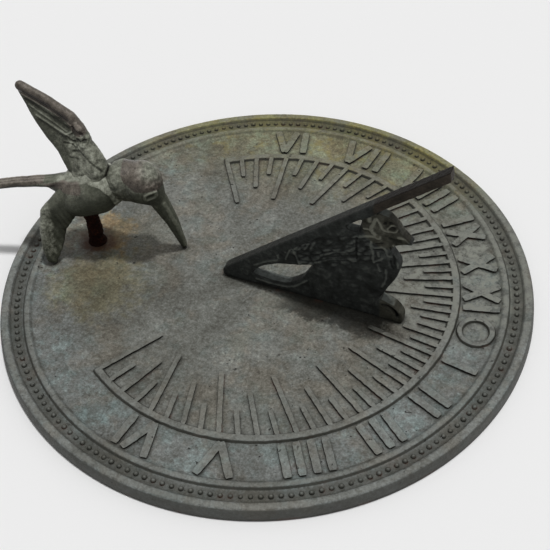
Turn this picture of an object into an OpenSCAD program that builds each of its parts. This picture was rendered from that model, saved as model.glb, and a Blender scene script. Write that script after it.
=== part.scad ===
// Horizontal garden sundial in patinated cast brass.
// A beaded round dial carries a raised hour ring, ticks and Roman numerals, a pierced gnomon
// with a songbird cut into it, and a hummingbird that stands on an iron post and dips its beak.
// Origin: centre of the dial on the surface it rests on. +Z is up and +X runs along the noon line.

/* [Dial plate] */
// Diameter of the dial at the foot of its rim
dial_d = 254; // [240:1:300]
// How far the rim draws in from its foot to its top edge
rim_flare = 1.5; // [0.5:0.1:3]
// Height of the rim over the surface the dial rests on
rim_h = 7; // [6.5:0.1:10]
// Width of the flat crown on top of the rim
crown_w = 2.3; // [1.5:0.1:3.4]
// Height of the dial's face over the surface the dial rests on
face_h = 5.2; // [4.5:0.1:6]
// Thickness of the dial's face
face_t = 3.4; // [3:0.1:4]
// Width of the ring under the rim that the dial rests on
foot_w = 12; // [8:0.5:18]

/* [Beaded border] */
// Distance of the circle through the beads from the foot of the rim
bead_inset = 8.2; // [8:0.1:10]
// Diameter of one bead
bead_d = 2.6; // [2:0.1:3.4]
// Number of beads
bead_count = 180; // [120:4:200]
// Distance of the raised ridge inside the beads from the foot of the rim
ridge_inset = 13.2; // [12.5:0.1:14]
// Width of the ridge
ridge_w = 3.4; // [2.4:0.1:4]
// Height of the ridge over the face
ridge_h = 1.5; // [0.8:0.1:2]

/* [Hour ring and ticks] */
// Distance of the hour ring's outer edge from the foot of the rim
hour_ring_inset = 34; // [33.5:0.5:37]
// Width of the hour ring
hour_ring_w = 4.5; // [3:0.1:7]
// Height of ring, ticks and numerals over the face
relief_h = 1.2; // [0.6:0.1:1.6]
// Width of a tick
tick_w = 2; // [1.4:0.1:2.4]
// Length of an hour tick
hour_tick_l = 31.5; // [26:0.5:34]
// Length of a half-hour tick
half_tick_l = 22; // [16:0.5:25]
// Length of a quarter-hour tick
quarter_tick_l = 12.4; // [8:0.2:15]

/* [Numerals] */
// Distance of the numerals' tops from the foot of the rim
numeral_inset = 16.3; // [16:0.1:18]
// Height of a numeral, from foot to top
numeral_l = 16.5; // [13:0.1:17]
// Width of a numeral's stroke
stroke_w = 3.2; // [2:0.1:3.6]
// Diameter of the noon circle
noon_circle_d = 18; // [14:0.1:18]

/* [Gnomon] */
// Angle of the style over the dial, which is the latitude it is made for
style_angle = 41; // [40:0.5:42]
// Height of the style's tip over the face
style_top = 96.8; // [92:0.1:100]
// Distance of the style's tip from the dial's centre, along the noon line
style_reach = 85; // [82:0.5:87]
// Length of the gnomon from its nose on the dial to the style's tip, along the noon line
gnomon_l = 106; // [104:0.5:108]
// Depth of the style bar, square to the style
style_bar_w = 4.2; // [3.4:0.1:5]
// Thickness of the style bar and of the scroll foot
style_t = 5.6; // [5.2:0.1:7]
// Thickness of the bird panel
panel_t = 4.8; // [4.4:0.1:5]

/* [Screws] */
// Diameter of the two gnomon screws
gnomon_screw_d = 3; // [2.5:0.1:3.2]
// Head diameter of a gnomon screw
gnomon_head_d = 5.8; // [5:0.1:6]
// Length of a gnomon screw, head included
gnomon_screw_l = 10; // [8:0.5:12]
// Place of the rear gnomon screw along the noon line
rear_screw_x = -11; // [-12:0.5:-9]
// Place of the front gnomon screw along the noon line
front_screw_x = 46; // [40:0.5:50]
// Diameter of the post's screw
post_screw_d = 4; // [3:0.5:5]
// Head diameter of the post's screw
post_head_d = 7.6; // [7:0.1:9]
// Length of the post's screw, head included
post_screw_l = 12; // [9:0.5:14]

/* [Hummingbird] */
// Distance of the post from the foot of the rim, along the noon line
post_inset = 37; // [35:0.5:42]
// Place of the post across the noon line
post_y = -3; // [-6:0.5:0]
// Diameter of the iron post
post_d = 7.4; // [6.5:0.1:9]
// Length of the post between the face and the top of its socket
post_l = 27; // [25:0.5:29]
// Bird's heading, turned from the noon line
bird_yaw = 18; // [8:1:28]
// Height of the middle of the body over the face
body_z = 33.6; // [32:0.2:35]
// Diameter of the body at its widest
body_d = 24; // [22:0.2:26]
// Diameter of the head
head_d = 21; // [18:0.2:23]
// Diameter of the beak at its root
beak_d = 7.4; // [6:0.1:9]
// Diameter of the beak at its tip
beak_tip_d = 2.8; // [2:0.1:3.6]
// Length of the tail behind the body
tail_l = 44; // [34:1:54]
// Diameter of the tail at its root
tail_root_d = 8; // [7:0.2:10]
// Thickness of the tail at its end
tail_t = 2.4; // [2:0.1:4]
// Thickness of a wing
wing_t = 3; // [2.4:0.1:4]

/* [Clearances] */
// Clearance round a screw or the post in its hole
hole_gap = 0.05; // [0.02:0.01:0.1]

/* [Hidden] */
$fn = 96;
fine_fn = 28;
brass = [0.36, 0.37, 0.34];
dark_brass = [0.17, 0.17, 0.15];
rusty_iron = [0.25, 0.12, 0.07];
sink = 0.3;
cut_size = 80;

// Dial: radii and levels worked out from the driving dimensions
dial_r = dial_d / 2;
bed_h = face_h - face_t;
foot_break = 0.6;
crown_break = 0.9;
channel_gap = 1.3;
crown_r = dial_r - rim_flare - foot_break;
bead_r = dial_r - bead_inset;
channel_r = bead_r + bead_d / 2 + channel_gap;
ridge_r = dial_r - ridge_inset;
ring_inner_r = dial_r - hour_ring_inset - hour_ring_w;
numeral_foot_r = dial_r - numeral_inset - numeral_l;

// Angles of the hour lines on the ring from the noon line, one hour from noon to the seventh
morning_hours = [14, 28, 43.5, 63, 84, 105.5, 126];
evening_hours = [10, 23.5, 39.5, 58.5, 80, 101, 123];
// Points that the ticks run towards: early, morning, afternoon and late
early_aim = [-11, 10];
morning_aim = [-16.5, -3];
evening_aim = [-21.5, 3];
late_aim = [2, 6];
// Numerals: text, angle from the noon line, width of V or X, gap between two I, gap beside V or X
morning_numerals = [["XI", 14.2, 12.5, 2.8, 2.2], ["X", 26.1, 12.5, 2.8, 2.2], ["IX", 39, 12.5, 2.8, 2.2],
                    ["VIII", 58.5, 13.6, 2.9, 1.5], ["VII", 81.9, 13.6, 2.8, 1.5], ["VI", 105, 13.6, 2.8, 1.5]];
evening_numerals = [["I", 10, 12.5, 2.8, 2.2], ["II", 23.2, 12.5, 3.8, 2.2], ["III", 38.5, 12.5, 3.1, 2.2],
                    ["IIII", 57.4, 12.5, 3.1, 2.2], ["V", 78.5, 17.8, 2.8, 2.2], ["VI", 98.6, 14.3, 2.8, 1.3]];
noon_mark_angle = 2.2;
noon_pitch = 3.35;

// Gnomon: heights are over the face
bar_drop = style_bar_w / cos(style_angle);
nose_x = style_reach - gnomon_l;
nose_break = 1.2;
tip_break = 0.8;
bar_foot_l = 16;
panel_start = 6;
scroll_r = 8;
scroll_x = style_reach - 23.3;
scroll_z = 4;
scroll_back = 4;
dimple_r = 4;
dimple_depth = 0.6;
panel_edge = [[-18, 0], [-22, 8], [-26.5, 12.4], [-25, 16.8], [-23.3, 21.2], [-20.7, 26.5],
              [-18.8, 31.7], [-18.2, 36.4], [-18.9, 39.3], [-20.4, 41.9], [-22.4, 45],
              [-21.5, 48.2], [-17.5, 50.2], [-13.3, 51.4], [-17.3, 55.4], [-20.2, 59.8],
              [-22.5, 62.5], [-24.8, 64.3], [-27.5, 65]];
leaf_edge = [[-91, 7.1], [-85, 12.9], [-80.6, 15.5], [-76.3, 17.7], [-71, 19.1], [-64.6, 21],
             [-58.5, 23.4], [-60.5, 18.8], [-62, 16.3], [-64.5, 12.5], [-67.1, 9.8],
             [-70.5, 7.1], [-73.6, 5.7], [-80, 5.5], [-87, 6]];
nape_edge = [[-42, 51.6], [-37.8, 51.6], [-36.7, 55.8]];
nape_start = -44.2;
nape_end = -35.8;
crest_x = -31;
songbird_head_at = [-26, 56];
songbird_ring_r = 5.4;
songbird_eye_at = [-22.5, 58.3];
songbird_fold_w = 1.6;
// Upper and lower end of each fold of its breast and thigh
songbird_folds = [[[-31.5, 44], [-26.5, 14]], [[-23.5, 41.5], [-20.5, 32]], [[-20.5, 37.5], [-24.5, 23]]];
// Its wing's feathers: root and point of the top one, and the steps to the next one's
feather_count = 4;
feather_w = 3.4;
feather_root = [-38.5, 44.5];
feather_point = [-72.5, 26.8];
feather_root_step = [1.5, -4.6];
feather_point_step = [6.5, -2];
screw_head_h = (gnomon_head_d - gnomon_screw_d) / 2;
post_head_h = (post_head_d - post_screw_d) / 2;

// Hummingbird: places are in its own frame, from the middle of the body
post_x = post_inset - dial_r;
rear_at = [-3.5, 0, -1.5];
rear_d = body_d - 1;
front_at = [5.3, 0, 1.4];
rump_at = rear_at + [-1, 0, 2];
rump_d = body_d - 6;
tail_root_at = [-10.8, 0, 6.7];
tail_mid_at = tail_root_at + [-tail_l / 2, 0, -1.7];
tail_end_at = tail_root_at + [-tail_l, 0, -5.1];
tail_mid_d = tail_t + 0.8;
// The tail's three ribs: their overlap with the rump, and half the spread at root, middle and end
tail_lap = 1.5;
tail_spread = [1, 1.2, 1.5];
neck_at = [12.5, 0, 5.2];
neck_turn = -8;
neck_r = 8.6;
neck_swell = 1;
nape_at = [20.5, -1.3, 10];
nape_d = 18;
skull_at = [27.4, -2.1, 8.4];
skull_d = head_d - 1.5;
head_at = [28.4, -2.1, 8.4];
face_at = [33.6, -2.6, 0.4];
face_d = beak_d + 3;
beak_root_at = face_at + [1.5, 0, -2];
beak_mid_at = [39.4, -3, -16];
beak_mid_d = (beak_d + beak_tip_d) / 2;
seat_gap = 0.12;
beak_tip_at = [43.9, -3.3, beak_tip_d / 2 + seat_gap - body_z];
back_seat_at = [0, 0, 10.2];
back_seat_pitch = -18;
flank_seat_at = [-10.6, -6, -1.5];
flank_seat_yaw = -140;
seat_lip = 1;
neck_l = 4.5;

// Raised wing: root on the body, then places in the blade's own frame
back_root = [[-2.5, 4.8], [4, 6.5]];
blade_z = 15.2;
blade_tilt = -15;
shoulder_at = [5.5, 0, 5.5];
shoulder_d = 9.3;
wrist_at = [1.8, 0, 19.2];
wrist_d = 5.8;
wing_tip_at = [-23.3, 0, 40.5];
wing_tip_d = 4.4;
vane_tip_at = [-23.8, 0, 38.6];
vane_edge_d = 0.7 * wing_t;
trail_tip_at = [-18.6, 0, 21.4];
trail_wrist_at = [-9, 0, 8];
trail_root_at = [-5.7, 0, 5];
quill_start = [0.5, 17.5];
quill_end = [-21, 36.5];
quill_step = [[-3.2, -3], [0.7, -4.2]];

// Lowered wing: root on the flank, then places down to the tip that rests on the dial
flank_root_r = 6.8;
flank_root_drop = 2.5;
low_wrist_at = [-19.4, -9, -5.8];
low_wrist_d = wing_t + 1.6;
low_back_d = wing_t + 0.6;
low_lead_d = wing_t + 1;
low_lead_end_d = wing_t + 0.4;
low_lead_at = [-20.6, -12.5, -13];
low_lead_end_at = [-21, -15.8, -24];
low_back_at = [-13, -8.6, -17];
low_back_end_at = [-14.8, -12, -25];
low_tip_at = [-18.4, -16.2, wing_t / 2 + seat_gap - body_z];
low_point_at = [-20, -17, -30.6];

// Height of the style's upper edge over the face
function style_z(x) = style_top - (style_reach - x) * tan(style_angle);

// A glyph's width in a row of the numerals, its left edge, and the whole numeral's width
function is_wide(row, i) = row[0][i] != "I";
function glyph_w(row, i) = is_wide(row, i) ? row[2] : stroke_w;
function glyph_gap(row, i) = is_wide(row, i - 1) || is_wide(row, i) ? row[4] : row[3];
function glyph_x(row, i) = i == 0 ? 0 : glyph_x(row, i - 1) + glyph_w(row, i - 1) + glyph_gap(row, i);
function numeral_w(row) = glyph_x(row, len(row[0]) - 1) + glyph_w(row, len(row[0]) - 1);

// Ticks between two hours: a half-hour one in the middle and quarters at its sides
function tick_length(q) = q == 0 ? hour_tick_l : q == 2 ? half_tick_l : quarter_tick_l;
function tick_angle(hours, n, q) = q == 0 ? hours[n] : hours[n] + (hours[n + 1] - hours[n]) * q / 4;

// A slanted stroke that stands on the line y = 0
module slant(x0, x1, w) {
  polygon([[x0, 0], [x0 + w, 0], [x1 + w, numeral_l], [x1, numeral_l]]);
}

module glyph(c, w) {
  if (c == "I") square([stroke_w, numeral_l]);
  if (c == "V") {
    slant((w - stroke_w) / 2, 0, stroke_w);
    slant((w - stroke_w) / 2, w - stroke_w, stroke_w);
  }
  if (c == "X") {
    slant(0, w - stroke_w, stroke_w);
    slant(w - stroke_w, 0, stroke_w);
  }
}

// A numeral with its top outwards, clockwise reading, at an angle from the noon line
module numeral(row, angle) {
  rotate([0, 0, angle - 90]) translate([-numeral_w(row) / 2, numeral_foot_r, face_h - sink])
    linear_extrude(relief_h + sink)
      for (i = [0 : len(row[0]) - 1]) translate([glyph_x(row, i), 0]) glyph(row[0][i], row[2]);
}

// A tick from the ring's inner edge towards its aim
module tick(angle, l, aim) {
  start = [ring_inner_r * cos(angle), ring_inner_r * sin(angle)];
  run = aim - start;
  translate([start[0], start[1], face_h - sink]) rotate([0, 0, atan2(run[1], run[0])])
    translate([-hour_ring_w / 4, -tick_w / 2, 0]) cube([l + hour_ring_w / 4, tick_w, relief_h + sink]);
}

module hour_ticks() {
  for (n = [0 : 6], q = [0 : 3])
    if (n < 6 || q == 0) {
      tick(tick_angle(morning_hours, n, q), tick_length(q), n > 3 ? early_aim : morning_aim);
      tick(-tick_angle(evening_hours, n, q), tick_length(q), n > 5 || (n == 5 && q > 0) ? late_aim : evening_aim);
    }
  // The three quarters on each side of noon, where noon itself has no tick
  for (q = [1 : 3]) {
    l = min(tick_length(q), ring_inner_r - scroll_x - scroll_r - 1);
    tick(morning_hours[0] - noon_pitch * q, l, morning_aim);
    tick(-evening_hours[0] + noon_pitch * q, l, evening_aim);
  }
}

module hour_ring() {
  end_turn = asin(tick_w / 2 / ring_inner_r);
  rotate([0, 0, -evening_hours[6] - end_turn])
    rotate_extrude(angle = evening_hours[6] + morning_hours[6] + 2 * end_turn, $fn = 180)
      translate([ring_inner_r, face_h - sink]) square([hour_ring_w, relief_h + sink]);
}

module noon_mark() {
  rotate([0, 0, noon_mark_angle]) translate([numeral_foot_r + numeral_l / 2, 0, face_h - sink])
    linear_extrude(relief_h + sink) difference() {
      circle(d = noon_circle_d);
      circle(d = noon_circle_d - 2 * stroke_w);
    }
}

// A countersunk hole from the bed upwards, or the screw that fills it
module countersunk(d, head_d, head_h, l) {
  cylinder(d = d, h = l);
  cylinder(d1 = head_d, d2 = d, h = head_h);
}

module dial_section() {
  polygon([
    [0, bed_h], [dial_r - foot_w, bed_h], [dial_r - foot_w, 0], [dial_r - foot_break, 0],
    [dial_r, foot_break], [dial_r - rim_flare, rim_h - crown_break], [crown_r, rim_h],
    [crown_r - crown_w, rim_h], [channel_r, face_h],
    [ridge_r + ridge_w / 2, face_h], [ridge_r + ridge_w / 4, face_h + ridge_h],
    [ridge_r - ridge_w / 4, face_h + ridge_h], [ridge_r - ridge_w / 2, face_h],
    [0, face_h]
  ]);
}

module dial_plate() {
  color(brass) {
    difference() {
      rotate_extrude($fn = 180) dial_section();
      for (x = [rear_screw_x, front_screw_x]) translate([x, 0, bed_h])
        countersunk(gnomon_screw_d + 2 * hole_gap, gnomon_head_d + 2 * hole_gap, screw_head_h, face_t + 1);
      translate([post_x, post_y, bed_h])
        countersunk(post_screw_d + 2 * hole_gap, post_head_d + 2 * hole_gap, post_head_h, face_t + 1);
    }
    for (i = [0 : bead_count - 1]) rotate([0, 0, i * 360 / bead_count])
      translate([bead_r, 0, face_h]) sphere(d = bead_d, $fn = fine_fn);
    hour_ring();
    hour_ticks();
    for (row = morning_numerals) numeral(row, row[1]);
    for (row = evening_numerals) numeral(row, -row[1]);
    noon_mark();
  }
}

// Flat outline set upright in the plane of the noon line
module upright(t) {
  translate([0, 0, face_h]) rotate([90, 0, 0]) linear_extrude(t, center = true) children();
}

module style_outline() {
  polygon([
    [nose_x + nose_break, 0], [nose_x, nose_break], [nose_x, style_z(nose_x) - nose_break],
    [nose_x + nose_break, style_z(nose_x + nose_break)],
    [style_reach, style_top], [style_reach + tip_break, style_top - bar_drop + tip_break],
    [style_reach, style_top - bar_drop], [nose_x + bar_foot_l, style_z(nose_x + bar_foot_l) - bar_drop],
    [nose_x + bar_foot_l, 0]
  ]);
}

// Songbird and tail with its two openings
module panel_outline() {
  x = style_reach;
  start = panel_start - gnomon_l;
  translate([x, 0]) difference() {
    polygon(concat([[start, 0]], panel_edge, [
      [crest_x, style_z(x + crest_x) - bar_drop / 2], [start, style_z(x + start) - bar_drop / 2]
    ]));
    polygon(leaf_edge);
    polygon(concat([[nape_start, style_z(x + nape_start) - bar_drop]], nape_edge,
                   [[nape_end, style_z(x + nape_end) - bar_drop]]));
  }
}

// A feather or fold in relief, from its root to its point
module feather(root, point, w) {
  run = (point - root) / norm(point - root);
  side = [-run[1], run[0]] * w / 2;
  polygon([root + side, root - side, point - run * w - side, point, point - run * w + side]);
}

// What stands proud of the panel on both sides: the songbird's head, collar, wing and breast edge
module relief_outline() {
  intersection() {
    panel_outline();
    translate([style_reach, 0]) union() {
      difference() {
        translate(songbird_head_at) circle(r = songbird_ring_r);
        translate(songbird_head_at) circle(r = songbird_ring_r - songbird_fold_w);
        translate(songbird_head_at + [songbird_fold_w, -songbird_ring_r]) square(2 * songbird_ring_r);
      }
      translate(songbird_eye_at) circle(d = songbird_fold_w);
      for (f = [0 : feather_count - 1])
        feather(feather_root + f * feather_root_step, feather_point + f * feather_point_step, feather_w);
      for (fold = songbird_folds) feather(fold[0], fold[1], songbird_fold_w);
    }
  }
}

// Rounded foot that ends the panel, with a dimple in each side
module scroll_foot() {
  upright(style_t) intersection() {
    translate([scroll_x, scroll_z]) circle(r = scroll_r);
    translate([scroll_x - scroll_back, 0]) square([scroll_r + scroll_back, scroll_z + scroll_r]);
  }
}

module gnomon() {
  color(dark_brass) difference() {
    union() {
      upright(style_t) style_outline();
      upright(panel_t) panel_outline();
      upright(style_t) relief_outline();
      difference() {
        scroll_foot();
        for (side = [-1, 1]) translate([scroll_x + 1, side * style_t / 2, face_h + scroll_z + 1])
          rotate([90, 0, 0]) cylinder(r = dimple_r, h = 2 * dimple_depth, center = true);
      }
    }
    for (x = [rear_screw_x, front_screw_x]) translate([x, 0, bed_h])
      cylinder(d = gnomon_screw_d + 2 * hole_gap, h = gnomon_screw_l + sink);
  }
}

module gnomon_screws() {
  color(dark_brass) for (x = [rear_screw_x, front_screw_x]) translate([x, 0, bed_h])
    countersunk(gnomon_screw_d, gnomon_head_d, screw_head_h, gnomon_screw_l);
}

module support_post() {
  color(rusty_iron) translate([post_x, post_y, face_h]) difference() {
    cylinder(d = post_d, h = post_l);
    translate([0, 0, -1]) cylinder(d = post_screw_d + 2 * hole_gap, h = post_screw_l - face_t + 1 + sink);
  }
}

module post_screw() {
  color(rusty_iron) translate([post_x, post_y, bed_h])
    countersunk(post_screw_d, post_head_d, post_head_h, post_screw_l);
}

// The hummingbird's own frame: the middle of its body, over the post
module bird_frame() {
  translate([post_x, post_y, face_h + body_z]) rotate([0, 0, bird_yaw]) children();
}

module ball(at, d) {
  translate(at) sphere(d = d, $fn = fine_fn);
}

// Frames of the three joints where the bird's castings meet: +Z points out of the body
module neck_joint() {
  translate(neck_at) rotate([0, 90, neck_turn]) children();
}

module back_joint() {
  translate(back_seat_at) rotate([0, back_seat_pitch, 0]) children();
}

module flank_joint() {
  translate(flank_seat_at) rotate([0, 90, flank_seat_yaw]) children();
}

// Everything on the outer side of a joint
module outer_side() {
  translate([-cut_size / 2, -cut_size / 2, 0]) cube(cut_size);
}

module inner_side() {
  translate([-cut_size / 2, -cut_size / 2, -cut_size]) cube(cut_size);
}

// Tapered piece between two balls
module taper(from, from_d, to, to_d) {
  hull() {
    ball(from, from_d);
    ball(to, to_d);
  }
}

module bird_body() {
  color(brass) difference() {
    bird_frame() {
      difference() {
        union() {
          hull() {
            ball(rear_at, rear_d);
            ball(front_at, body_d);
            ball(neck_at + [seat_lip, 0, 0], 2 * neck_r + neck_swell);
          }
          taper(rump_at, rump_d, tail_root_at, tail_root_d);
        }
        neck_joint() outer_side();
        back_joint() outer_side();
        flank_joint() outer_side();
      }
      for (fan = [-1 : 1]) hull() {
        ball(tail_root_at + [-tail_lap, fan * tail_spread[0], 0], tail_root_d / 2);
        ball(tail_mid_at + [0, fan * tail_spread[1], 0], tail_mid_d);
        ball(tail_end_at + [0, fan * tail_spread[2], 0], tail_t);
      }
    }
    translate([post_x, post_y, 0]) cylinder(d = post_d + 2 * hole_gap, h = face_h + post_l);
  }
}

module bird_head() {
  color(brass) bird_frame() difference() {
    union() {
      hull() {
        neck_joint() cylinder(r = neck_r, h = seat_lip / 2, $fn = fine_fn);
        neck_joint() translate([0, 0, neck_l]) cylinder(r = neck_r - 1, h = seat_lip / 2, $fn = fine_fn);
      }
      hull() {
        neck_joint() translate([0, 0, neck_l - seat_lip / 2]) cylinder(r = neck_r - 1, h = seat_lip, $fn = fine_fn);
        ball(nape_at, nape_d);
        ball(skull_at, skull_d);
      }
      taper(head_at, head_d, face_at, face_d);
      taper(beak_root_at, beak_d, beak_mid_at, beak_mid_d);
      taper(beak_mid_at, beak_mid_d, beak_tip_at, beak_tip_d);
    }
    neck_joint() inner_side();
  }
}

// Frame of the raised wing's blade: x along the body, z towards the wing's tip, y its thickness
module blade_frame() {
  translate([0, 0, blade_z]) rotate([blade_tilt, 0, 0]) children();
}

module raised_wing() {
  color(brass) bird_frame() difference() {
    union() {
      hull() {
        for (r = back_root) back_joint() translate([r[0], 0, 0]) cylinder(r = r[1], h = seat_lip, $fn = fine_fn);
        blade_frame() ball(shoulder_at, shoulder_d);
        blade_frame() ball(trail_root_at, wing_t);
      }
      blade_frame() {
        taper(shoulder_at, shoulder_d, wrist_at, wrist_d);
        taper(wrist_at, wrist_d, wing_tip_at, wing_tip_d);
        hull() {
          ball(wrist_at, wing_t);
          ball(vane_tip_at, vane_edge_d);
          ball(trail_tip_at, vane_edge_d);
          ball(trail_wrist_at, wing_t);
        }
        hull() {
          ball(wrist_at, wing_t);
          ball(shoulder_at, wing_t);
          ball(trail_wrist_at, wing_t);
        }
        for (q = [0 : 3], side = [-1, 1]) {
          from = quill_start + q * quill_step[0];
          to = quill_end + q * quill_step[1];
          taper([from[0], side * wing_t / 3, from[1]], wing_t / 1.7, [to[0], side * wing_t / 3, to[1]], wing_t / 2);
        }
      }
    }
    back_joint() inner_side();
  }
}

module lowered_wing() {
  color(brass) bird_frame() difference() {
    union() {
      hull() {
        flank_joint() translate([flank_root_drop, 0, 0]) cylinder(r = flank_root_r, h = seat_lip, $fn = fine_fn);
        ball(low_wrist_at, low_wrist_d);
        ball(low_back_at, low_back_d);
      }
      hull() {
        ball(low_wrist_at, low_wrist_d);
        ball(low_lead_at, low_lead_d);
        ball(low_back_at, low_back_d);
        ball(low_back_end_at, wing_t);
        ball(low_lead_end_at, low_lead_end_d);
      }
      hull() {
        ball(low_back_end_at, wing_t);
        ball(low_lead_end_at, low_lead_end_d);
        ball(low_point_at, wing_t);
        ball(low_tip_at, wing_t);
      }
    }
    flank_joint() inner_side();
  }
}

dial_plate();
gnomon();
gnomon_screws();
support_post();
post_screw();
bird_body();
bird_head();
raised_wing();
lowered_wing();
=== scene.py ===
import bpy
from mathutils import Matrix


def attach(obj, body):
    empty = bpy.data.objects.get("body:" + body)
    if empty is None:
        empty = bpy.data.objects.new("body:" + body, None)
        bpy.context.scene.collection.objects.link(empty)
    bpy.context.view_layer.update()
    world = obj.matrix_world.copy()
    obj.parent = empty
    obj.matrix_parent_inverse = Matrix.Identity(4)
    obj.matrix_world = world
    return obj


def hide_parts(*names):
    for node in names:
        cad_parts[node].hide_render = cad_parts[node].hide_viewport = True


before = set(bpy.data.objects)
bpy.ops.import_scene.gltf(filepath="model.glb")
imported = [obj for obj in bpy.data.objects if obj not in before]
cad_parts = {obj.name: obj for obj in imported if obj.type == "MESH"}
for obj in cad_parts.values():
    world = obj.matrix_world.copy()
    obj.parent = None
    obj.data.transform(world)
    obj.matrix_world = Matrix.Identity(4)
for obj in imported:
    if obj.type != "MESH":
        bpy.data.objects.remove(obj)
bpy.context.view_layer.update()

import math
import random

import bmesh
import bpy
import numpy as np
from mathutils import Matrix, Vector, noise

# Lengths are millimetres, as on a drawing, until a piece is finished in metres.
MM = 0.001

# Camera: what it looks at, from where, and how it is turned
AIM = Vector((3.5, 4.1, 7.0))
CAMERA_DISTANCE = 517.9
CAMERA_AZIMUTH = -64.8
CAMERA_ELEVATION = 46.87
CAMERA_ROLL = -3.7
LENS = 70.6
CLIP_NEAR = 0.01
CLIP_FAR = 20

# Light: the lamp's direction, width and power, the world's level on its darker and brighter side,
# where the brighter side lies, the backdrop's level, and half the table's side in metres
LAMP_FROM = (0.119, 0.11, 1)
LAMP_WIDTH = math.radians(5)
LAMP_POWER = 1.9
WORLD_DARK = 0.22
WORLD_BRIGHT = 0.52
BRIGHT_SIDE = (0.72, 0.58, 0)
BACKDROP = 0.85
TABLE_HALF = 3.0

# Dial plate
DIAL_R = 127.0
RIM_H = 7.0
FACE_H = 5.2
FACE_T = 3.4
BED_H = FACE_H - FACE_T
FOOT_W = 12.0
BEAD_R = 118.8
BEAD_D = 2.6
BEAD_COUNT = 180
RING_R = 93.0
RING_W = 4.5
RING_INNER_R = RING_R - RING_W
TICK_W = 2.0
TICK_LENGTHS = (31.5, 12.4, 22.0, 12.4)
NOON_PITCH = 3.35
MORNING_HOURS = (14, 28, 43.5, 63, 84, 105.5, 126)
EVENING_HOURS = (10, 23.5, 39.5, 58.5, 80, 101, 123)
EARLY_AIM = (-11, 10)
MORNING_AIM = (-16.5, -3)
EVENING_AIM = (-21.5, 3)
LATE_AIM = (2, 6)
NUMERAL_FOOT_R = 94.2
NUMERAL_L = 16.5
STROKE_W = 3.2
NOON_CIRCLE_D = 18.0
NOON_CIRCLE_TOP_W = 1.8
NOON_ANGLE = 2.2
# Numerals: text, angle from the noon line, width of V or X, gap between two I, gap beside V or X
NUMERALS = (("XI", 14.2, 12.5, 2.8, 2.2), ("X", 26.1, 12.5, 2.8, 2.2), ("IX", 39, 12.5, 2.8, 2.2),
            ("VIII", 58.5, 13.6, 2.9, 1.5), ("VII", 81.9, 13.6, 2.8, 1.5), ("VI", 105, 13.6, 2.8, 1.5),
            ("I", -10, 12.5, 2.8, 2.2), ("II", -23.2, 12.5, 3.8, 2.2), ("III", -38.5, 12.5, 3.1, 2.2),
            ("IIII", -57.4, 12.5, 3.1, 2.2), ("V", -78.5, 17.8, 2.8, 2.2), ("VI", -98.6, 14.3, 2.8, 1.3))
# Steps up a relief's sloping wall, each inwards and upwards, from just under the face
WALL_STEPS = ((0.05, 0.14), (0.12, 0.12), (0.2, 0.42), (0.22, 0.38), (0.2, 0.2), (0.2, 0.06))
RELIEF_SINK = 0.12
# How much the walls of each mark lean in, the pitch of a bar's cuts, and its ends' taper
RING_LEAN = 1.2
TICK_LEAN = 0.62
NUMERAL_LEAN = 0.95
BAR_PITCH = 1.2
BAR_END_TAPER = 0.8

# Gnomon: x along the noon line, z over the face
STYLE_ANGLE = math.radians(41)
STYLE_TOP = 96.8
STYLE_REACH = 85.0
STYLE_BAR_W = 4.2
STYLE_T = 5.6
PANEL_T = 4.8
NOSE_X = -21.0
SCROLL_X = 61.7
SCROLL_R = 8.0

# Hummingbird: its own frame has x along its heading and z up from the middle of its body
POST_AT = Vector((-90, -3, FACE_H))
POST_D = 7.4
POST_L = 27.0
BIRD_YAW = math.radians(18)
BODY_Z = 33.6
BIRD_PLACE = Matrix.Translation(POST_AT + Vector((0, 0, BODY_Z))) @ Matrix.Rotation(BIRD_YAW, 4, "Z")
BLADE_PLACE = Matrix.Translation((0, 0, 15.2)) @ Matrix.Rotation(math.radians(-15), 4, "X")
CAST_VOXEL = 0.42

# Countersunk screws from below: place, and the diameters of head and shank
GNOMON_SCREWS = [(x, 0.0, 5.8, 3.0) for x in (-11.0, 46.0)]
POST_SCREWS = [(POST_AT.x, POST_AT.y, 7.6, 4.0)]
SCREW_SLOT_W = 0.9


# Meshes

def placed(name, data):
    """A new object in the scene."""
    made = bpy.data.objects.new(name, data)
    bpy.context.scene.collection.objects.link(made)
    return made


def to_mesh(bm, name):
    mesh = bpy.data.meshes.new(name)
    bm.to_mesh(mesh)
    bm.free()
    return mesh


def finished(name, bm, finish, node):
    """Makes a piece from a mesh in millimetres, with its material, for the frame."""
    slot, material = finish
    bmesh.ops.transform(bm, matrix=Matrix.Scale(MM, 4), verts=bm.verts)
    mesh = to_mesh(bm, name)
    for polygon in mesh.polygons:
        polygon.use_smooth = True
    mesh.materials.append(material)
    piece = placed(name, mesh)
    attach(piece, "root")
    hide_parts(node)


def outward(bm):
    """Turns every face outwards."""
    bmesh.ops.recalc_face_normals(bm, faces=bm.faces)


def soften(bm, factor, rounds=1):
    for _ in range(rounds):
        bmesh.ops.smooth_vert(bm, verts=bm.verts, factor=factor, use_axis_x=True, use_axis_y=True,
                              use_axis_z=True)


def hull(bm, balls):
    """Joins balls, each a place and a radius, by their convex hull."""
    part = bmesh.new()
    for at, radius in balls:
        bmesh.ops.create_uvsphere(part, u_segments=28, v_segments=18, radius=radius,
                                  matrix=Matrix.Translation(at))
    bmesh.ops.delete(part, geom=part.faces[:], context="FACES_ONLY")
    made = bmesh.ops.convex_hull(part, input=part.verts[:])
    inside = [v for v in made["geom_interior"] if isinstance(v, bmesh.types.BMVert)]
    bmesh.ops.delete(part, geom=inside, context="VERTS")
    loose = [e for e in part.edges if not e.link_faces]
    bmesh.ops.delete(part, geom=loose, context="EDGES")
    add(bm, part)


def rope(bm, balls):
    """A run of tapered rods from ball to ball."""
    for pair in zip(balls, balls[1:]):
        hull(bm, pair)


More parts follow.
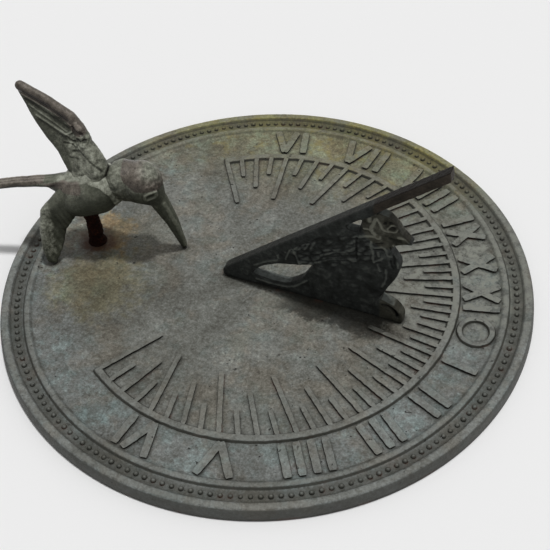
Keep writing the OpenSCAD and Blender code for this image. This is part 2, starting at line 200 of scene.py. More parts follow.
def add(bm, part, place=None):
    """Puts one mesh into another, moved to its place."""
    if place is not None:
        bmesh.ops.transform(part, matrix=place, verts=part.verts)
    mesh = to_mesh(part, "part")
    bm.from_mesh(mesh)
    bpy.data.meshes.remove(mesh)


def fused(bm, rounds):
    """Fuses overlapping solids into one skin, as a casting is, and softens its corners."""
    mesh = to_mesh(bm, "fused")
    piece = placed("fused", mesh)
    skin = piece.modifiers.new("skin", "REMESH")
    skin.mode = "VOXEL"
    skin.voxel_size = CAST_VOXEL
    bpy.context.view_layer.update()
    shape = piece.evaluated_get(bpy.context.evaluated_depsgraph_get())
    out = bmesh.new()
    out.from_mesh(shape.to_mesh())
    shape.to_mesh_clear()
    bpy.data.objects.remove(piece)
    bpy.data.meshes.remove(mesh)
    soften(out, 0.5, rounds)
    return out


def sculpt(bm, push, tone=None):
    """Moves each vertex along its normal by push(places, normals), in millimetres, and keeps
    that height and its tone on the vertex for the material."""
    bm.normal_update()
    places = np.array([v.co[:] for v in bm.verts])
    normals = np.array([v.normal[:] for v in bm.verts])
    heights = push(places, normals)
    tones = tone(places, normals) if tone else np.zeros(len(places))
    relief_layer = bm.verts.layers.float.new("relief")
    tone_layer = bm.verts.layers.float.new("tone")
    for vert, place, height, shade in zip(bm.verts, places + normals * heights[:, None], heights, tones):
        vert.co = place
        vert[relief_layer] = height
        vert[tone_layer] = shade


def rough(places, size, seed):
    """Smooth noise from -1 to 1 whose lumps have about the given size."""
    offset = Vector((seed, 2 * seed, 3 * seed))
    return np.array([noise.noise(Vector(p) / size + offset) for p in places])


def scales(places, size, seed):
    """Rounded scales, 1 in the middle and 0 at their edges."""
    offset = Vector((seed, 2 * seed, 3 * seed))
    near = np.array([noise.voronoi(Vector(p) / size + offset)[0][:2] for p in places])
    return np.clip((near[:, 1] - near[:, 0]) * 2.2, 0, 1)


def fade(value, low, high):
    """Rises smoothly from 0 at low to 1 at high."""
    t = np.clip((value - low) / (high - low), 0, 1)
    return t * t * (3 - 2 * t)


def off_line(flat, line):
    """Distance of each flat place from a line of points."""
    best = np.full(len(flat), 1e9)
    for a, b in zip(line, line[1:]):
        a, b = np.array(a, float), np.array(b, float)
        run = b - a
        t = np.clip(((flat - a) @ run) / (run @ run), 0, 1)
        best = np.minimum(best, np.linalg.norm(flat - a - t[:, None] * run, axis=1))
    return best


def stroke(flat, line, width):
    """1 on a line and 0 beyond half its width."""
    return 1 - fade(off_line(flat, line), width * 0.15, width * 0.6)


def curve(points, steps=5):
    """A smooth line through points, ends included."""
    pts = [Vector(p) for p in points]
    ends = [pts[0] * 2 - pts[1]] + pts + [pts[-1] * 2 - pts[-2]]
    line = []
    for a, b, c, d in zip(ends, ends[1:], ends[2:], ends[3:]):
        for i in range(steps):
            t = i / steps
            line.append(0.5 * (2 * b + (c - a) * t + (2 * a - 5 * b + 4 * c - d) * t * t
                               + (3 * b - a - 3 * c + d) * t ** 3))
    return line + [pts[-1]]


# Materials

class Nodes:
    """Adds nodes to one tree."""

    def __init__(self, tree):
        self.tree = tree

    def put(self, socket, value):
        if isinstance(value, bpy.types.NodeSocket):
            self.tree.links.new(value, socket)
        else:
            socket.default_value = value

    def node(self, kind, inputs=(), **settings):
        """A new node with its settings, and a value or a link for each input that is given."""
        made = self.tree.nodes.new(kind)
        for key, value in settings.items():
            setattr(made, key, value)
        for socket, value in dict(inputs).items():
            self.put(made.inputs[socket], value)
        return made


class Finish(Nodes):
    """Builds the nodes of one material."""

    def __init__(self, name, metallic, specular=0.5):
        self.material = bpy.data.materials.new(name)
        self.material.use_nodes = True
        super().__init__(self.material.node_tree)
        self.shader = next(n for n in self.tree.nodes if n.type == "BSDF_PRINCIPLED")
        self.shader.inputs["Metallic"].default_value = metallic
        self.shader.inputs["Specular IOR Level"].default_value = specular
        self.place = self.node("ShaderNodeTexCoord").outputs["Object"]

    def noise(self, size, detail=4.0, roughness=0.55):
        return self.node("ShaderNodeTexNoise", {"Vector": self.place, "Scale": 1 / (size * MM),
                                                "Detail": detail, "Roughness": roughness}).outputs[0]

    def span(self, value, low, high, start=0.0, end=1.0):
        """Runs smoothly from start to end while the value runs from low to high."""
        made = self.node("ShaderNodeMapRange", {"Value": value, "From Min": low, "From Max": high,
                                                "To Min": start, "To Max": end},
                         interpolation_type="SMOOTHSTEP")
        return made.outputs["Result"]

    def math(self, operation, a, b=0.0):
        return self.node("ShaderNodeMath", {0: a, 1: b}, operation=operation).outputs[0]

    def times(self, a, b):
        return self.math("MULTIPLY", a, b)

    def blend(self, amount, a, b, kind="MIX"):
        a, b = ((*color, 1) if isinstance(color, tuple) else color for color in (a, b))
        made = self.node("ShaderNodeMix", {"Factor": amount, 6: a, 7: b}, data_type="RGBA", blend_type=kind)
        return made.outputs[2]

    def tint(self, amount, color, tint):
        return self.blend(amount, color, tint, "MULTIPLY")

    def ramp(self, value, *stops):
        """A colour that runs through the stops, each a value and a colour."""
        made = self.node("ShaderNodeValToRGB")
        band = made.color_ramp
        band.elements.remove(band.elements[1])
        band.elements[0].position = stops[0][0]
        band.elements[0].color = (*stops[0][1], 1)
        for at, color in stops[1:]:
            band.elements.new(at).color = (*color, 1)
        self.put(made.inputs["Fac"], value)
        return made.outputs["Color"]

    def total(self, *terms):
        """Sum of each term's value, less 0.5, times its weight, over a middle of 0.5."""
        value = 0.5
        for source, weight in terms:
            made = self.node("ShaderNodeMath", {0: self.math("SUBTRACT", source, 0.5), 1: weight, 2: value},
                             operation="MULTIPLY_ADD")
            value = made.outputs[0]
        return value

    def vertex(self, name):
        return self.node("ShaderNodeAttribute", attribute_name=name).outputs["Fac"]

    def axis(self, name, source=None):
        return self.node("ShaderNodeSeparateXYZ", {0: source or self.place}).outputs[name]

    def facing_up(self):
        return self.axis("Z", self.node("ShaderNodeNewGeometry").outputs["Normal"])

    def from_point(self, x, y, z):
        made = self.node("ShaderNodeVectorMath", {0: self.place, 1: (x * MM, y * MM, z * MM)},
                         operation="DISTANCE")
        return made.outputs["Value"]

    def from_axis(self):
        flat = self.node("ShaderNodeVectorMath", {0: self.place, 1: (1, 1, 0)}, operation="MULTIPLY")
        return self.node("ShaderNodeVectorMath", {0: flat.outputs[0]}, operation="LENGTH").outputs["Value"]

    def crevice(self, reach, low=0.45, high=0.95):
        """0 in corners and 1 on open surface."""
        made = self.node("ShaderNodeAmbientOcclusion", {"Distance": reach * MM}, samples=8)
        return self.span(made.outputs["AO"], low, high)

    def bump(self, height, depth, under=None):
        made = self.node("ShaderNodeBump", {"Strength": 1.0, "Distance": depth * MM, "Height": height})
        if under is not None:
            self.put(made.inputs["Normal"], under)
        return made.outputs["Normal"]

    def done(self, color, roughness, normal=None):
        self.put(self.shader.inputs["Base Color"], color)
        self.put(self.shader.inputs["Roughness"], roughness)
        if normal is not None:
            self.put(self.shader.inputs["Normal"], normal)
        return self.material


def dial_patina():
    """Cast brass gone grey-green: mottled, pitted, olive at its far side, with dirt and painted shade in
    its corners, painted shade on its walls and a painted shadow beside the gnomon.
    """
    f = Finish("dial_patina", 0.15, 0.25)
    broad = f.noise(52, 2)
    cloud = f.noise(15, 4, 0.6)
    blotch = f.noise(4.5, 5, 0.7)
    speck = f.noise(1.7, 3, 0.7)
    grain = f.noise(0.9, 3, 0.7)
    radius = f.from_axis()
    x, y, z = f.axis("X"), f.axis("Y"), f.axis("Z")
    tone = f.total((broad, 0.4), (cloud, 0.6), (blotch, 0.75), (speck, 0.75), (grain, 0.6))
    color = f.ramp(tone, (0.12, (0.04, 0.039, 0.031)), (0.36, (0.09, 0.09, 0.077)),
                   (0.52, (0.134, 0.137, 0.122)), (0.68, (0.19, 0.195, 0.177)),
                   (0.9, (0.3, 0.31, 0.28)))
    # Warm and cool patches lie over the mottling
    warm = f.span(f.noise(21, 4, 0.65), 0.47, 0.62)
    color = f.tint(f.times(warm, 0.6), color, (1.06, 0.93, 0.82))
    cool = f.span(f.noise(12, 5, 0.6), 0.5, 0.64)
    color = f.tint(f.times(cool, 0.55), color, (0.9, 1.02, 1.04))
    # Pale blue-green bloom between the numerals and out to the beads
    band = f.times(f.span(radius, 0.09, 0.097), f.span(radius, 0.122, 0.109))
    bloom = f.times(band, f.span(f.total((f.noise(14, 5, 0.65), 1), (blotch, 0.5)), 0.46, 0.62))
    color = f.tint(f.times(bloom, 0.65), color, (1.08, 1.26, 1.28))
    # Cooler on the near side's outer rings, and the rim a little lighter
    near = f.times(f.span(radius, 0.084, 0.096), f.span(y, 0.06, 0.0))
    color = f.tint(near, color, (1.02, 1.05, 1.11))
    color = f.tint(f.span(radius, 0.1222, 0.1228), color, (1.12, 1.13, 1.14))
    # Olive and yellow towards the far side, pale grey-green round the morning's last hours
    far = f.times(f.span(y, 0.045, 0.115), f.span(x, 0.105, 0.04))
    color = f.tint(f.times(far, 0.9), color, (1.3, 1.21, 0.8))
    edge = f.times(far, f.span(radius, 0.11, 0.119))
    color = f.tint(f.times(edge, f.span(cloud, 0.36, 0.52)), color, (1.12, 1.1, 0.66))
    yellow = f.times(far, f.span(f.noise(8, 5, 0.7), 0.52, 0.64))
    color = f.blend(f.times(yellow, 0.55), color, (0.225, 0.19, 0.06))
    pale = f.span(f.from_point(88, 38, FACE_H), 0.062, 0.02)
    color = f.blend(f.times(pale, f.span(blotch, 0.4, 0.62)), color, (0.215, 0.222, 0.19))
    # Stain that ran from the post: orange at its front, beige at its back, olive beyond
    wave = f.times(f.math("SUBTRACT", f.noise(10, 5, 0.7), 0.5), 0.06)
    for dx, dy, reach, amount, stain in ((5, 5, 0.015, 0.75, (1.34, 1.02, 0.64)),
                                         (-14, 1, 0.022, 0.8, (1.4, 1.22, 1.05)),
                                         (16, 8, 0.024, 0.4, (1.2, 1.14, 1.0)),
                                         (14, -24, 0.03, 0.85, (0.98, 0.88, 0.6))):
        spot = f.math("ADD", f.from_point(POST_AT.x + dx, POST_AT.y + dy, FACE_H), wave)
        color = f.tint(f.span(spot, reach, reach * 0.35, 0, amount), color, stain)
    # Dark at its foot: partly rust stain, partly painted shade where the post meets the dial
    foot = f.math("ADD", f.from_point(POST_AT.x - 1, POST_AT.y - 1, FACE_H), f.times(wave, 0.4))
    color = f.blend(f.span(foot, 0.013, 0.005, 0, 0.9), color, (0.045, 0.016, 0.008))
    # Painted shadow of the gnomon: a dark band beside it on its evening side
    along = f.times(f.span(x, 0.004, 0.022), f.span(f.math("ADD", x, wave), 0.066, 0.058))
    slant = f.math("ADD", y, f.times(x, 0.08))
    beside = f.span(f.math("ADD", slant, f.times(wave, 0.35)), -0.0135, -0.0095)
    painted_gnomon_shadow = f.times(along, f.times(beside, f.span(y, 0.004, 0.0)))
    color = f.tint(f.times(painted_gnomon_shadow, 0.9), color, (0.15, 0.145, 0.135))
    # The rim's outer wall and the bead channel are darker, and the walls of the relief darker still: on the
    # walls this is painted shade with some dirt
    up = f.facing_up()
    color = f.blend(f.times(f.span(up, 0.9, 0.55), 0.75), color, (0.048, 0.048, 0.042))
    wall_dirt_and_shade = f.times(f.span(up, 0.96, 0.62), f.span(radius, 0.1162, 0.1156))
    color = f.blend(f.times(wall_dirt_and_shade, 0.8), color, (0.036, 0.036, 0.029))
    channel = f.times(f.span(radius, 0.1155, 0.117), f.span(radius, 0.1222, 0.1212))
    color = f.blend(f.times(channel, 0.5), color, (0.046, 0.046, 0.036))
    # Tops of the relief are rubbed smoother and a little lighter
    top = f.times(f.span(z, 0.006, 0.0063), f.span(up, 0.9, 0.97))
    color = f.blend(f.times(top, f.span(blotch, 0.35, 0.65, 0.15, 0.5)), color, (0.17, 0.172, 0.152))
    # Pits of every size, then dirt and painted shade in the corners, with rust-red in places
    pit = f.times(f.span(f.noise(2.4, 2, 0.5), 0.69, 0.75), f.span(f.noise(30, 2), 0.45, 0.6, 0.2, 1))
    color = f.blend(f.times(pit, 0.9), color, (0.014, 0.013, 0.011))
    red = f.span(f.noise(9, 3), 0.54, 0.64)
    corner_dirt_and_shade = f.blend(red, (0.026, 0.026, 0.021), (0.054, 0.032, 0.023))
    color = f.blend(f.crevice(3.2, 0.5, 0.98), corner_dirt_and_shade, color)
    normal = f.bump(blotch, 0.35)
    normal = f.bump(speck, 0.14, normal)
    normal = f.bump(grain, 0.16, normal)
    normal = f.bump(pit, -0.5, normal)
    return f.done(color, f.span(blotch, 0.3, 0.7, 0.5, 0.72), normal)


def dark_patina():
    """Nearly black bronze patina, browner on the style's end and olive on the songbird's head."""
    f = Finish("dark_patina", 0.1, 0.12)
    blotch = f.noise(5, 5, 0.65)
    grain = f.noise(0.9, 3, 0.7)
    relief = f.span(f.vertex("relief"), -0.5, 0.8)
    where = f.vertex("tone")
    up = f.facing_up()
    tone = f.total((relief, 0.7), (blotch, 0.65), (grain, 0.35))
    color = f.ramp(tone, (0.2, (0.012, 0.013, 0.012)), (0.42, (0.031, 0.034, 0.032)),
                   (0.58, (0.07, 0.076, 0.07)), (0.85, (0.12, 0.128, 0.112)))
    bar = f.ramp(tone, (0.2, (0.015, 0.013, 0.01)), (0.5, (0.044, 0.036, 0.028)),
                 (0.75, (0.08, 0.067, 0.054)))
    # Faces of the bar that look up are darkened: painted shade
    bar = f.tint(f.span(up, 0.2, 0.6), bar, (0.32, 0.3, 0.28))
    color = f.blend(f.span(where, 0.35, 0.65), color, bar)
    olive = f.ramp(tone, (0.2, (0.014, 0.014, 0.01)), (0.5, (0.062, 0.061, 0.048)),
                   (0.78, (0.175, 0.177, 0.143)))
    color = f.blend(f.span(where, -0.15, -0.85), color, olive)
    # The style's sloping top is the darkest: painted shade
    painted_shade_slope = f.times(f.span(up, 0.5, 0.7), f.span(up, 0.86, 0.78))
    color = f.tint(painted_shade_slope, color, (0.55, 0.53, 0.5))
    # A dry bloom lies on what faces up
    bloom = f.times(f.span(up, 0.8, 0.96), f.span(where, 0.6, 0.2))
    color = f.blend(f.times(bloom, f.span(blotch, 0.38, 0.6, 0.3, 0.8)), color, (0.12, 0.134, 0.124))
    # Corners darkened to near black: dark patina and painted shade
    color = f.blend(f.crevice(1.6), (0.004, 0.004, 0.004), color)
    normal = f.bump(grain, 0.2)
    normal = f.bump(blotch, 0.3, normal)
    return f.done(color, f.span(grain, 0.3, 0.7, 0.5, 0.7), normal)


def bird_patina():
    """Dark olive casting, dry grey-green on what stands proud, brown and bare where it is rubbed."""
    f = Finish("bird_patina", 0.15, 0.25)
    cloud = f.noise(9, 4, 0.6)
    blotch = f.noise(2.4, 5, 0.75)
    grain = f.noise(0.7, 3, 0.75)
    relief = f.span(f.vertex("relief"), -0.45, 0.75)
    up = f.span(f.facing_up(), -0.8, 0.9)
    tone = f.total((relief, 0.75), (cloud, 0.45), (blotch, 0.95), (grain, 0.8), (up, 0.32))
    bare = f.total((relief, 0.5), (cloud, 0.4), (blotch, 0.6), (grain, 0.5), (up, 0.45))
    green = f.ramp(tone, (0.18, (0.014, 0.014, 0.01)), (0.4, (0.058, 0.061, 0.045)),
                   (0.56, (0.122, 0.126, 0.098)), (0.72, (0.195, 0.202, 0.16)),
                   (0.95, (0.34, 0.352, 0.29)))
    brown = f.ramp(bare, (0.18, (0.012, 0.009, 0.007)), (0.42, (0.042, 0.035, 0.028)),
                   (0.6, (0.09, 0.077, 0.062)), (0.9, (0.24, 0.212, 0.18)))
    shade = f.math("ADD", f.vertex("tone"), f.times(f.math("SUBTRACT", cloud, 0.5), 0.9))
    rubbed_bare = f.span(shade, 0.25, 0.75)
    color = f.blend(rubbed_bare, green, brown)
    smooth = f.ramp(bare, (0.2, (0.02, 0.021, 0.014)), (0.5, (0.06, 0.064, 0.046)),
                    (0.8, (0.145, 0.15, 0.115)))
    color = f.blend(f.span(shade, -0.3, -0.8), color, smooth)
    # Corners darkened: dark patina and painted shade
    color = f.blend(f.crevice(2.0, 0.35, 0.85), (0.01, 0.009, 0.007), color)
    normal = f.bump(blotch, 0.3)
    normal = f.bump(grain, 0.14, normal)
    sheen = f.times(rubbed_bare, -0.14)
    return f.done(color, f.math("ADD", f.span(blotch, 0.3, 0.7, 0.38, 0.6), sheen), normal)


def rust():
    """Iron rusted nearly black."""
    f = Finish("rust", 0.0, 0.06)
    blotch = f.noise(2.6, 5, 0.7)
    grain = f.noise(0.7, 4, 0.7)
    color = f.ramp(f.total((blotch, 1.2), (grain, 0.6)), (0.35, (0.006, 0.003, 0.002)),
                   (0.6, (0.016, 0.005, 0.003)), (0.85, (0.085, 0.032, 0.014)))
    normal = f.bump(blotch, 0.8)
    normal = f.bump(grain, 0.3, normal)
    return f.done(color, 0.92, normal)


def screw_brass():
    """Dull brass, browner in patches."""
    f = Finish("screw_brass", 0.8)
    middle = f.noise(2.5, 4, 0.6)
    color = f.blend(f.span(middle, 0.35, 0.7), (0.2, 0.15, 0.07), (0.11, 0.1, 0.07))
    return f.done(color, f.span(middle, 0.3, 0.7, 0.38, 0.6), f.bump(middle, 0.08))


# Dial plate

def dial_section():
    """Half section of the plate from the bed's edge out, over the rim and in to the middle."""
    foot_r = DIAL_R - FOOT_W
    under = [(foot_r, BED_H), (foot_r, 0.4), (foot_r + 0.4, 0), (DIAL_R - 0.7, 0), (DIAL_R - 0.15, 0.25)]
    rim = [(DIAL_R, 0.8), (126.8, 2.8), (126.6, 4.5), (126.1, 6.2), (125.5, 6.9), (124.6, RIM_H),
           (123.7, 6.95), (122.9, RIM_H), (122.2, 6.6), (121.6, 5.6), (121.2, 5.25)]
    channel = [(r, FACE_H) for r in (120.2, 118.8, 117.4)]
    ridge = [(116.0, 5.25), (115.6, 5.5), (115.2, 6.3), (114.6, 6.7), (113.9, 6.7), (113.2, 6.8),
             (112.4, 6.5), (111.8, 5.9), (110.9, 5.4), (109.6, 5.22)]
    return under + rim + channel + ridge + [(r, FACE_H) for r in (106, 98, 88, 74, 58, 40, 20, 6, 0)]


def spun(bm, line, steps, start=0.0, sweep=math.tau):
    """Spins a half section round the dial's axis."""
    verts = [bm.verts.new((r * math.cos(start), r * math.sin(start), z)) for r, z in line]
    edges = [bm.edges.new(pair) for pair in zip(verts, verts[1:])]
    bmesh.ops.spin(bm, geom=verts + edges, cent=(0, 0, 0), axis=(0, 0, 1), dvec=(0, 0, 0),
                   angle=sweep, steps=steps, use_merge=sweep >= math.tau, use_duplicate=False)
    bmesh.ops.remove_doubles(bm, verts=bm.verts, dist=1e-4)


def bed(bm):
    """The underside inside the foot ring, with its three countersunk holes."""
    foot_r = DIAL_R - FOOT_W
    foot = [v for v in bm.verts if abs(v.co.z - BED_H) < 1e-3 and abs(v.co.xy.length - foot_r) < 1e-3]
    edges = [e for e in bm.edges if all(v in foot for v in e.verts)]
    for x, y, head_d, d in GNOMON_SCREWS + POST_SCREWS:
        made = bmesh.ops.create_circle(bm, segments=32, radius=head_d / 2 + 0.05,
                                       matrix=Matrix.Translation((x, y, BED_H)))
        rim = list({e for v in made["verts"] for e in v.link_edges})
        edges += rim
        walls = bmesh.ops.extrude_edge_only(bm, edges=rim)
        top = [v for v in walls["geom"] if isinstance(v, bmesh.types.BMVert)]
        bmesh.ops.translate(bm, verts=top, vec=(0, 0, (head_d - d) / 2))
        bmesh.ops.scale(bm, verts=top, vec=(d / head_d, d / head_d, 1),
                        space=Matrix.Translation((-x, -y, 0)))
    bmesh.ops.triangle_fill(bm, use_beauty=True, use_dissolve=False, edges=edges)


def make_dial(finish):
    bm = bmesh.new()
    spun(bm, dial_section(), 360)
    bed(bm)
    outward(bm)
    # Crown and ridge are worn unevenly
    sculpt(bm, lambda places, normals: -0.14 * np.abs(rough(places, 5, 4)) * fade(places[:, 2], 5.4, 6.4))
    finished("dial", bm, finish, "dial_plate")


def make_beads(finish, draw):
    bm = bmesh.new()
    for i in range(BEAD_COUNT):
        angle = math.tau * i / BEAD_COUNT
        r = BEAD_R + draw.uniform(-0.12, 0.12)
        size = BEAD_D / 2 * draw.uniform(0.86, 1.0)
        at = (r * math.cos(angle), r * math.sin(angle), FACE_H + draw.uniform(-0.3, 0.0))
        bmesh.ops.create_uvsphere(bm, u_segments=10, v_segments=6, radius=size,
                                  matrix=Matrix.Translation(at))
    finished("beads", bm, finish, "dial_plate")


def make_hour_ring(finish):
    bm = bmesh.new()
    end = math.degrees(math.asin(TICK_W / 2 / RING_INNER_R))
    start = math.radians(-EVENING_HOURS[-1] - end)
    sweep = math.radians(EVENING_HOURS[-1] + MORNING_HOURS[-1] + 2 * end)
    spun(bm, ring_section(RING_INNER_R, RING_R, RING_LEAN), 300, start, sweep)
    bmesh.ops.holes_fill(bm, edges=[e for e in bm.edges if e.is_boundary], sides=0)
    outward(bm)
    worn("hour_ring", bm, finish)


def ring_section(inner, outer, lean):
    """Closed half section of a raised ring whose walls slope in as WALL_STEPS says."""
    left, right, z = inner - 0.1, outer + 0.1, FACE_H - RELIEF_SINK
    up, down = [(left, z)], [(right, z)]
    for inset, rise in WALL_STEPS:
        left += inset * lean
        right -= inset * lean
        z += rise
        up.append((left, z))
        down.append((right, z))
    return down + up[::-1] + down[:1]


def worn(name, bm, finish):
    """Finishes a raised mark of the dial, its edges and top uneven as on a worn casting."""
    places = [v.co.copy() for v in bm.verts]
    sway, drift, wear = rough(places, 2.2, 3), rough(places, 2.2, 7), rough(places, 4, 11)
    for vert, dx, dy, dz in zip(bm.verts, sway, drift, wear):
        vert.co += Vector((0.22 * dx, 0.22 * dy, 0.16 * dz * (vert.co.z > FACE_H + 0.5)))
    finished(name, bm, finish, "dial_plate")


def relief_bar(bm, start, end, width, lean):
    """A raised bar with sloping walls and a narrower top, between two flat places."""
    start, end = Vector(start), Vector(end)
    run = end - start
    part = bmesh.new()
    half_l, half_w = run.length / 2 + 0.1, width / 2 + 0.1
    bmesh.ops.create_grid(part, x_segments=max(2, round(run.length / BAR_PITCH)), y_segments=1, size=1,
                          matrix=Matrix.Diagonal((half_l, half_w, 1, 1)))
    for vert in part.verts:
        if abs(vert.co.x) > half_l - 0.01:
            vert.co.y *= BAR_END_TAPER
    top = part.faces[:]
    for inset, rise in WALL_STEPS:
        bmesh.ops.inset_region(part, faces=top, thickness=inset * lean, depth=rise, use_even_offset=True)
    bmesh.ops.holes_fill(part, edges=[e for e in part.edges if e.is_boundary], sides=0)
    outward(part)
    middle = (start + end) / 2
    add(bm, part, Matrix.Translation((middle.x, middle.y, FACE_H - RELIEF_SINK))
        @ Matrix.Rotation(math.atan2(run.y, run.x), 4, "Z"))


def ticks():
    """Start and end of every tick, from the hour ring inwards."""
    rows = []

    def tick(angle, length, aim):
        a = math.radians(angle)
        start = Vector((math.cos(a), math.sin(a))) * RING_INNER_R
        way = (Vector(aim) - start).normalized()
        rows.append((start - way, start + way * length))

    for n in range(7):
        for q in range(4):
            if n == 6 and q:
                continue
            morning, evening = (hours[n] + (hours[n + 1] - hours[n]) * q / 4 if q else hours[n]
                                for hours in (MORNING_HOURS, EVENING_HOURS))
            tick(morning, TICK_LENGTHS[q], EARLY_AIM if n > 3 else MORNING_AIM)
            tick(-evening, TICK_LENGTHS[q], LATE_AIM if n > 5 or (n == 5 and q) else EVENING_AIM)
    for q in (1, 2, 3):
        length = min(TICK_LENGTHS[q], RING_INNER_R - SCROLL_X - SCROLL_R - 1)
        tick(MORNING_HOURS[0] - NOON_PITCH * q, length, MORNING_AIM)
        tick(-EVENING_HOURS[0] + NOON_PITCH * q, length, EVENING_AIM)
    return rows


def make_ticks(finish):
    bm = bmesh.new()
    for start, end in ticks():
        relief_bar(bm, start, end, TICK_W, TICK_LEAN)
    worn("ticks", bm, finish)


def glyph_strokes(letter, wide):
    """Foot and head of each stroke's middle line, and the glyph's width."""
    half = STROKE_W / 2
    if letter == "I":
        return [(half, half)], STROKE_W
    if letter == "V":
        return [(wide / 2, half), (wide / 2, wide - half)], wide
    return [(half, wide - half), (wide - half, half)], wide


def make_numerals(finish):
    bm = bmesh.new()
    for text, angle, wide, gap, wide_gap in NUMERALS:
        glyphs = [glyph_strokes(letter, wide) for letter in text]
        gaps = [gap if pair == "II" else wide_gap for pair in (text[i:i + 2] for i in range(len(text) - 1))]
        turn = Matrix.Rotation(math.radians(angle - 90), 2)
        x = -(sum(width for _, width in glyphs) + sum(gaps)) / 2
        for (strokes, width), space in zip(glyphs, gaps + [0]):
            for foot, head in strokes:
                start = turn @ Vector((x + foot, NUMERAL_FOOT_R))
                end = turn @ Vector((x + head, NUMERAL_FOOT_R + NUMERAL_L))
                relief_bar(bm, start, end, STROKE_W, NUMERAL_LEAN)
            x += width + space
    worn("numerals", bm, finish)


def make_noon_circle(finish):
    bm = bmesh.new()
    outer, inner = NOON_CIRCLE_D / 2, NOON_CIRCLE_D / 2 - STROKE_W
    lean = (STROKE_W + 0.2 - NOON_CIRCLE_TOP_W) / 2 / sum(inset for inset, _ in WALL_STEPS)
    spun(bm, ring_section(inner, outer, lean), 64)
    outward(bm)
    a = math.radians(NOON_ANGLE)
    r = NUMERAL_FOOT_R + NUMERAL_L / 2
    bmesh.ops.translate(bm, verts=bm.verts, vec=(r * math.cos(a), r * math.sin(a), 0))
    worn("noon_circle", bm, finish)


# Gnomon

def style_z(x):
    return STYLE_TOP - (STYLE_REACH - x) * math.tan(STYLE_ANGLE)


def upright_plate(bm, outer, holes, thickness):
    """A plate in the noon plane from its outline and holes, given as x and height over the face."""
    part = bmesh.new()
    edges = []
    for loop in (outer, *holes):
        verts = [part.verts.new((p[0], -thickness / 2, p[1] + FACE_H)) for p in loop]
        edges += [part.edges.new((a, b)) for a, b in zip(verts, verts[1:] + verts[:1])]
    made = bmesh.ops.triangle_fill(part, use_beauty=True, use_dissolve=False, edges=edges)
    faces = [g for g in made["geom"] if isinstance(g, bmesh.types.BMFace)]
    raised = bmesh.ops.extrude_face_region(part, geom=faces)
    bmesh.ops.translate(part, verts=[g for g in raised["geom"] if isinstance(g, bmesh.types.BMVert)],
                        vec=(0, thickness, 0))
    outward(part)
    add(bm, part)


def panel_outline():
    """The songbird's outline, from the scroll up round its breast and head to the style bar."""
    breast = curve([(63, 8), (58.5, 12.4), (60, 16.8), (61.7, 21.2), (64.3, 26.5), (66.2, 31.7),
                    (66.8, 36.4), (66.1, 39.3), (64.6, 41.9), (62.6, 45), (63.5, 48.2)], 4)
    beak = curve([(63.5, 48.2), (67.5, 50.3), (71.7, 51.4)], 3)
    crown = curve([(71.7, 51.4), (67.7, 55.4), (64.8, 59.8), (62.5, 62.5), (60.2, 64.3), (57.5, 65),
                   (54, 66)], 4)
    line = [(-15, 0), (67, 0)] + breast + beak[1:] + crown[1:]
    return line + [(54, style_z(54) - 2), (-15, style_z(-15) - 2)]


def leaf_opening():
    top = curve([(-6, 7.1), (0, 12.9), (4.4, 15.5), (8.7, 17.7), (14, 19.1), (20.4, 21), (26.5, 23.4)], 3)
    bottom = curve([(26.5, 23.4), (23.5, 18), (20.5, 12.5), (17.9, 9.8), (14.5, 7.1), (11.4, 5.7),
                    (5, 5.5), (-2, 6), (-6, 7.1)], 3)
    return top + bottom[1:-1]


def nape_opening():
    edge = [(43, 51.6), (47.2, 51.6), (48.3, 55.8)]
    drop = STYLE_BAR_W / math.cos(STYLE_ANGLE)
    return [(40.8, style_z(40.8) - drop)] + edge + [(49.2, style_z(49.2) - drop)]


def style_bar():
    drop = STYLE_BAR_W / math.cos(STYLE_ANGLE)
    x = NOSE_X
    return [(x + 1.6, 0), (x, 1.4), (x + 0.2, style_z(x) - 0.6), (x + 1.8, style_z(x + 1.8)),
            (STYLE_REACH, STYLE_TOP), (STYLE_REACH + 0.8, STYLE_TOP - drop + 0.8),
            (STYLE_REACH, STYLE_TOP - drop), (x + 16, style_z(x + 16) - drop), (x + 13, 4), (x + 16, 0)]


def in_panel(places):
    """Places in the noon plane: x, and height over the face."""
    return places[:, (0, 2)] - (0, FACE_H)


def songbird(places, normals):
    """How far the songbird's relief stands out of the panel's two sides."""
    flat = in_panel(places)
    side = fade(np.abs(normals[:, 1]), 0.75, 0.95) * (np.abs(places[:, 1]) < PANEL_T / 2 + 0.15)
    push = sum(height * stroke(flat, curve(line, 4), width) for line, width, height in SONGBIRD_LINES)
    # Short overlapping feathers over the wing, longer along it than across
    along = flat @ (math.cos(WING_SLOPE), math.sin(WING_SLOPE))
    across = flat @ (-math.sin(WING_SLOPE), math.cos(WING_SLOPE))
    wing = fade(off_line(flat, WING_MIDDLE), 9.5, 7.5)
    push += 0.5 * wing * (scales(np.stack([along * 0.5, across, 0 * along], 1), 2.6, 6) - 0.5)
    push += 0.18 * rough(places, 1.8, 5) + 0.2 * rough(places, 5, 3)
    return push * side + 0.1 * rough(places, 1.4, 9) * (1 - side)


def gnomon_tone(places, normals):
    """1 on the style bar, -1 on the songbird's head and the scroll foot, 0 on the dark panel."""
    x, z = in_panel(places).T
    beside = fade(style_z(x) - z, 6.4, 5.6)
    bar = beside * fade(x, 50, 58)
    head = fade(np.hypot(x - 60, z - 57), 13, 9) * (1 - beside)
    scroll = fade(x, 57, 60) * fade(z, 15, 11)
    return bar - head - scroll


WING_SLOPE = math.radians(32)
WING_MIDDLE = ((24, 29), (36, 36), (47, 41))
